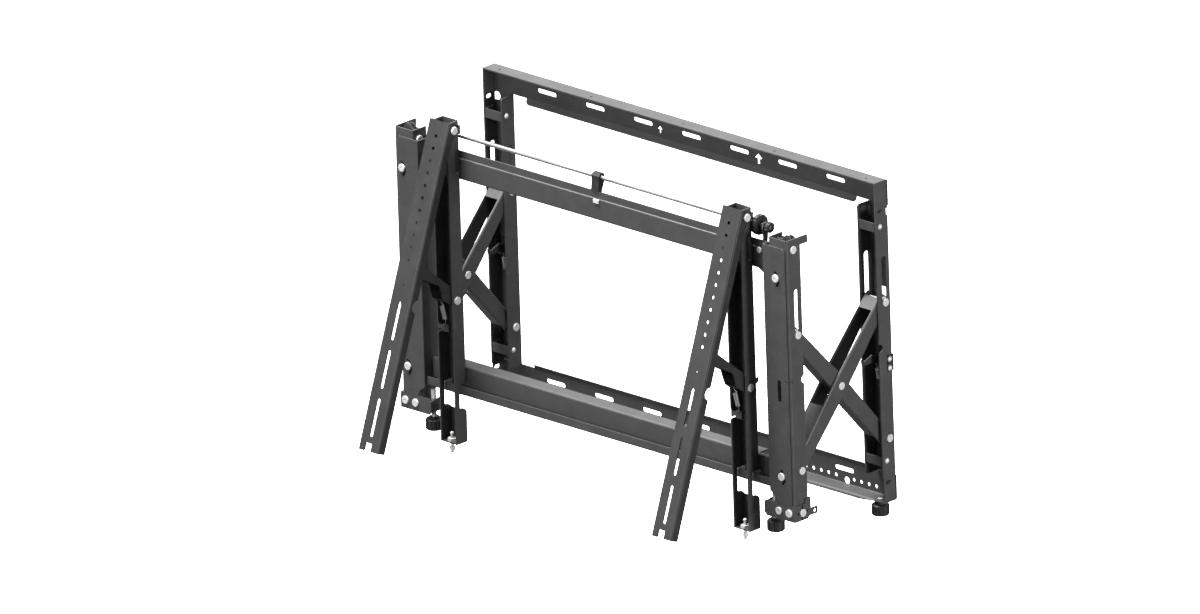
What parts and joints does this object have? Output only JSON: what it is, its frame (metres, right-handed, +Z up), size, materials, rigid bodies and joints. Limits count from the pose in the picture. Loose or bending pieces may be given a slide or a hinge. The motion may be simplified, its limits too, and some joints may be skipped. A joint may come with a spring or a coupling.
{
  "type": "pop-out video wall mount",
  "caption": "Black steel pop-out video wall mount: wall frame, scissor arms, front frame with hook-on uprights, tilting display brackets and a fine side adjuster.",
  "frame": {"origin": "middle of the four outer wall slots, on the back face that meets the wall", "axes": "+X to the right seen from the room, +Y into the wall, +Z up"},
  "size_m": [0.8668, 0.4217, 0.573],
  "materials": {
    "black_steel": "fine matt black powder coat on pressed steel sheet",
    "zinc_steel": "bright zinc plate on bolts, rivets and pins",
    "rod_steel": "drawn bright steel rod",
    "spring_steel": "phosphated spring wire",
    "black_plastic": "moulded black plastic",
    "clear_nylon": "thin clear pull loop"
  },
  "bodies": {
    "wall_frame": {"wall_top_rail": "black_steel", "wall_bottom_rail": "black_steel", "wall_left_post": "black_steel", "wall_right_post": "black_steel", "wall_post_straps": "black_steel", "wall_post_rivets": "zinc_steel", "wall_pivot_pins": "zinc_steel", "latch_brackets": "black_steel", "latch_pins": "zinc_steel", "left_latch_spring": "spring_steel", "right_latch_spring": "spring_steel"},
    "front_frame": {"front_left_post": "black_steel", "front_right_post": "black_steel", "front_left_post_cap": "black_steel", "front_right_post_cap": "black_steel", "front_left_post_shoe": "black_steel", "front_right_post_shoe": "black_steel", "front_slot_plates": "black_steel", "front_frame_bolts": "zinc_steel", "front_pivot_pins": "zinc_steel", "front_top_rail": "black_steel", "front_bottom_rail": "black_steel", "rod_clip": "black_plastic", "rod_clip_screw": "zinc_steel", "rod_stand": "black_steel"},
    "adjuster": {"adjuster_rod": "rod_steel", "adjuster_knob": "black_plastic", "adjuster_lock_knob": "black_plastic"},
    "right_inner_arm": {"right_inner_arm": "black_steel", "right_front_slide_pin": "zinc_steel", "right_cross_bolt": "zinc_steel"},
    "right_outer_arm": {"right_outer_arm": "black_steel", "right_wall_slide_pin": "zinc_steel"},
    "right_upright": {"right_upright": "black_steel", "right_upright_bolts": "zinc_steel", "right_lock_sleeve": "zinc_steel", "right_stay_spring": "spring_steel"},
    "right_display_bracket": {"right_display_bracket": "black_steel"},
    "right_stay": {"right_stay": "black_steel"},
    "right_lock_pin": {"right_lock_pin": "zinc_steel"},
    "right_pull_ring": {"right_pull_ring": "clear_nylon"},
    "right_latch_hook": {"right_latch_hook": "black_steel"},
    "wall_right_foot": {"wall_right_foot": "black_plastic"},
    "front_right_foot": {"front_right_foot": "black_plastic"},
    "left_inner_arm": {"left_inner_arm": "black_steel", "left_front_slide_pin": "zinc_steel", "left_cross_bolt": "zinc_steel"},
    "left_outer_arm": {"left_outer_arm": "black_steel", "left_wall_slide_pin": "zinc_steel"},
    "left_upright": {"left_upright": "black_steel", "left_upright_bolts": "zinc_steel", "left_lock_sleeve": "zinc_steel", "left_stay_spring": "spring_steel"},
    "left_display_bracket": {"left_display_bracket": "black_steel"},
    "left_stay": {"left_stay": "black_steel"},
    "left_lock_pin": {"left_lock_pin": "zinc_steel"},
    "left_pull_ring": {"left_pull_ring": "clear_nylon"},
    "left_latch_hook": {"left_latch_hook": "black_steel"},
    "wall_left_foot": {"wall_left_foot": "black_plastic"},
    "front_left_foot": {"front_left_foot": "black_plastic"}
  },
  "joints": [
    {"name": "fold_home", "type": "hinge", "parent": "wall_frame", "child": "right_inner_arm", "pos_m": [0.408, -0.014, -0.1614], "axis": [-1, 0, 0], "range_deg": [0, 32.4]},
    {"name": "right_arm_cross", "type": "hinge", "parent": "right_inner_arm", "child": "right_outer_arm", "pos_m": [0.408, -0.113, -0.0484], "axis": [-1, 0, 0], "range_deg": [-64.8, 0]},
    {"name": "front_frame_level", "type": "hinge", "parent": "right_outer_arm", "child": "front_frame", "pos_m": [0.408, -0.212, -0.1614], "axis": [-1, 0, 0], "range_deg": [0, 32.4]},
    {"name": "left_arm_fold", "type": "hinge", "parent": "wall_frame", "child": "left_inner_arm", "pos_m": [-0.408, -0.014, -0.1614], "axis": [-1, 0, 0], "range_deg": [0, 32.4]},
    {"name": "left_arm_cross", "type": "hinge", "parent": "left_inner_arm", "child": "left_outer_arm", "pos_m": [-0.408, -0.113, -0.0484], "axis": [-1, 0, 0], "range_deg": [-64.8, 0]},
    {"name": "side_shift", "type": "slide", "parent": "front_frame", "child": "right_upright", "axis": [1, 0, 0], "range_m": [-0.004, 0.004]},
    {"name": "left_side_shift", "type": "slide", "parent": "front_frame", "child": "left_upright", "axis": [1, 0, 0], "range_m": [-0.004, 0.004]},
    {"name": "adjuster_turn", "type": "hinge", "parent": "right_upright", "child": "adjuster", "pos_m": [0.346, -0.204, 0.228], "axis": [1, 0, 0], "continuous": true},
    {"name": "right_bracket_tilt", "type": "hinge", "parent": "right_upright", "child": "right_display_bracket", "pos_m": [0.32, -0.23, 0.2458], "axis": [1, 0, 0], "range_deg": [0, 20]},
    {"name": "right_stay_swing", "type": "hinge", "parent": "right_upright", "child": "right_stay", "pos_m": [0.32, -0.23, -0.0384], "axis": [1, 0, 0], "range_deg": [-49.7, 0], "deforming": ["right_stay_spring"]},
    {"name": "right_lock_pull", "type": "slide", "parent": "right_upright", "child": "right_lock_pin", "axis": [0, 0, -1], "range_m": [0, 0.004], "stiffness_N_per_m": 200, "springref_m": -0.005},
    {"name": "right_ring_swing", "type": "hinge", "parent": "right_lock_pin", "child": "right_pull_ring", "pos_m": [0.32, -0.232, -0.2928], "axis": [1, 0, 0], "range_deg": [-40, 40]},
    {"name": "right_latch", "type": "hinge", "parent": "wall_frame", "child": "right_latch_hook", "pos_m": [0.408, -0.01, -0.034], "axis": [-1, 0, 0], "range_deg": [0, 20], "stiffness_Nm_per_rad": 0.1, "springref_deg": -11.46, "deforming": ["right_latch_spring"]},
    {"name": "wall_right_foot_turn", "type": "hinge", "parent": "wall_frame", "child": "wall_right_foot", "pos_m": [0.408, -0.018, -0.283], "axis": [0, 0, 1], "continuous": true},
    {"name": "front_right_foot_turn", "type": "hinge", "parent": "front_frame", "child": "front_right_foot", "pos_m": [0.373, -0.217, -0.265], "axis": [0, 0, 1], "continuous": true},
    {"name": "left_bracket_tilt", "type": "hinge", "parent": "left_upright", "child": "left_display_bracket", "pos_m": [-0.32, -0.23, 0.2458], "axis": [1, 0, 0], "range_deg": [0, 20]},
    {"name": "left_stay_swing", "type": "hinge", "parent": "left_upright", "child": "left_stay", "pos_m": [-0.32, -0.23, -0.0384], "axis": [1, 0, 0], "range_deg": [-49.7, 0], "deforming": ["left_stay_spring"]},
    {"name": "left_lock_pull", "type": "slide", "parent": "left_upright", "child": "left_lock_pin", "axis": [0, 0, -1], "range_m": [0, 0.004], "stiffness_N_per_m": 200, "springref_m": -0.005},
    {"name": "left_ring_swing", "type": "hinge", "parent": "left_lock_pin", "child": "left_pull_ring", "pos_m": [-0.32, -0.232, -0.2928], "axis": [1, 0, 0], "range_deg": [-40, 40]},
    {"name": "left_latch", "type": "hinge", "parent": "wall_frame", "child": "left_latch_hook", "pos_m": [-0.408, -0.01, -0.034], "axis": [-1, 0, 0], "range_deg": [0, 20], "stiffness_Nm_per_rad": 0.1, "springref_deg": -11.46, "deforming": ["left_latch_spring"]},
    {"name": "wall_left_foot_turn", "type": "hinge", "parent": "wall_frame", "child": "wall_left_foot", "pos_m": [-0.408, -0.018, -0.283], "axis": [0, 0, 1], "continuous": true},
    {"name": "front_left_foot_turn", "type": "hinge", "parent": "front_frame", "child": "front_left_foot", "pos_m": [-0.373, -0.217, -0.265], "axis": [0, 0, 1], "continuous": true}
  ],
  "couplings": [
    {"joint": "right_arm_cross", "follows": "fold_home", "ratio": -2},
    {"joint": "front_frame_level", "follows": "fold_home", "ratio": 1},
    {"joint": "left_arm_fold", "follows": "fold_home", "ratio": 1},
    {"joint": "left_arm_cross", "follows": "fold_home", "ratio": -2},
    {"joint": "left_side_shift", "follows": "side_shift", "ratio": 1},
    {"joint": "right_stay_swing", "follows": "right_bracket_tilt", "ratio": -2.485},
    {"joint": "left_stay_swing", "follows": "left_bracket_tilt", "ratio": -2.485}
  ]
}
